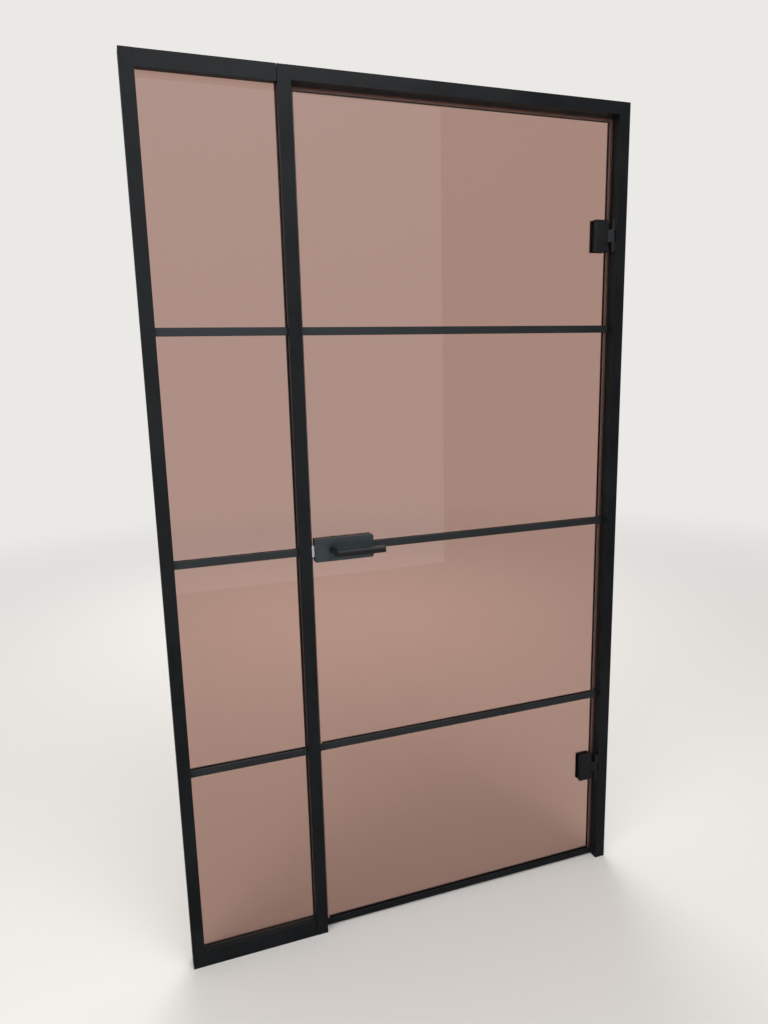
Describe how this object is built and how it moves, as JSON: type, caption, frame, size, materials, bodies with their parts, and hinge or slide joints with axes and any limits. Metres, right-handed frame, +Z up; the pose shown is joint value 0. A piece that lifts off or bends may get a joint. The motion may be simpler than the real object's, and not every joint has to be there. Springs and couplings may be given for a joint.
{
  "type": "framed glass door",
  "caption": "Slim dark metal frame with a fixed glass side light and a swinging glass leaf, flat glazing bars, a lever lock clamped on the glass and barrel hinges.",
  "frame": {"origin": "on the floor, at the middle of the width, in the middle plane of the leaf's glass", "axes": "+Z up; -Y faces the viewer in front of the door and the leaf opens towards -Y; +X runs from the side light to the hinges"},
  "size_m": [1.24, 0.14, 2.15],
  "materials": {
    "black_frame": "satin powder coat",
    "black_fittings": "satin coated",
    "bronze_glass": "clear, body tinted",
    "grey_seal": "soft matte",
    "black_rubber": "soft matte",
    "black_plastic": "matte",
    "bare_aluminium": "mill finish",
    "bright_steel": "satin",
    "dark_screws": "blackened"
  },
  "bodies": {
    "frame": {"left_jamb": "black_frame", "side_head": "black_frame", "side_sill": "black_frame", "mullion": "black_frame", "door_head": "black_frame", "hinge_jamb": "black_frame", "side_joint_blocks": "bare_aluminium", "mitre_cleats": "bare_aluminium", "side_glass": "bronze_glass", "glazing_gaskets": "black_rubber", "setting_blocks": "black_plastic", "left_bead": "black_frame", "head_bead": "black_frame", "sill_bead": "black_frame", "side_bar_1_front": "black_frame", "side_bar_1_rear": "black_frame", "side_bar_2_front": "black_frame", "side_bar_2_rear": "black_frame", "side_bar_3_front": "black_frame", "side_bar_3_rear": "black_frame", "side_bar_tapes": "black_rubber", "lock_side_seal": "grey_seal", "head_seal": "grey_seal", "hinge_side_seal": "grey_seal", "strike_plate": "bright_steel", "frame_screws": "dark_screws", "lower_hinge_plate": "black_fittings", "upper_hinge_plate": "black_fittings", "lower_hinge_pin": "bright_steel", "upper_hinge_pin": "bright_steel", "hinge_washers": "black_plastic"},
    "leaf": {"leaf_glass": "bronze_glass", "leaf_bar_1_front": "black_frame", "leaf_bar_1_rear": "black_frame", "leaf_bar_2_front": "black_frame", "leaf_bar_2_rear": "black_frame", "leaf_bar_3_front": "black_frame", "leaf_bar_3_rear": "black_frame", "bottom_trim_front": "black_frame", "bottom_trim_rear": "black_frame", "leaf_bar_tapes": "black_rubber", "lock_case": "black_fittings", "lock_base_plate": "bright_steel", "lock_rear_cover": "black_fittings", "lock_gaskets": "black_rubber", "lever_bushes": "black_plastic", "clamp_screws": "dark_screws", "lower_hinge_body": "black_fittings", "upper_hinge_body": "black_fittings", "lower_hinge_rear_plate": "black_fittings", "upper_hinge_rear_plate": "black_fittings", "hinge_gaskets": "black_rubber"},
    "handle": {"front_lever": "black_fittings", "rear_lever": "black_fittings", "spindle": "bright_steel", "follower": "bright_steel", "grub_screws": "dark_screws"},
    "latch": {"latch_bolt": "bright_steel"}
  },
  "joints": [
    {"name": "leaf_swing", "type": "hinge", "parent": "frame", "child": "leaf", "pos_m": [0.5835, -0.023, 1.0655], "axis": [0, 0, 1], "range_deg": [0, 105]},
    {"name": "lever_turn", "type": "hinge", "parent": "leaf", "child": "handle", "pos_m": [-0.209, 0, 1.061], "axis": [0, 1, 0], "range_deg": [0, 40], "stiffness_Nm_per_rad": 1, "springref_deg": -34.38},
    {"name": "latch_slide", "type": "slide", "parent": "leaf", "child": "latch", "axis": [1, 0, 0], "range_m": [0, 0.0115]}
  ],
  "couplings": [
    {"joint": "latch_slide", "follows": "lever_turn", "m_per_rad": 0.01576}
  ]
}
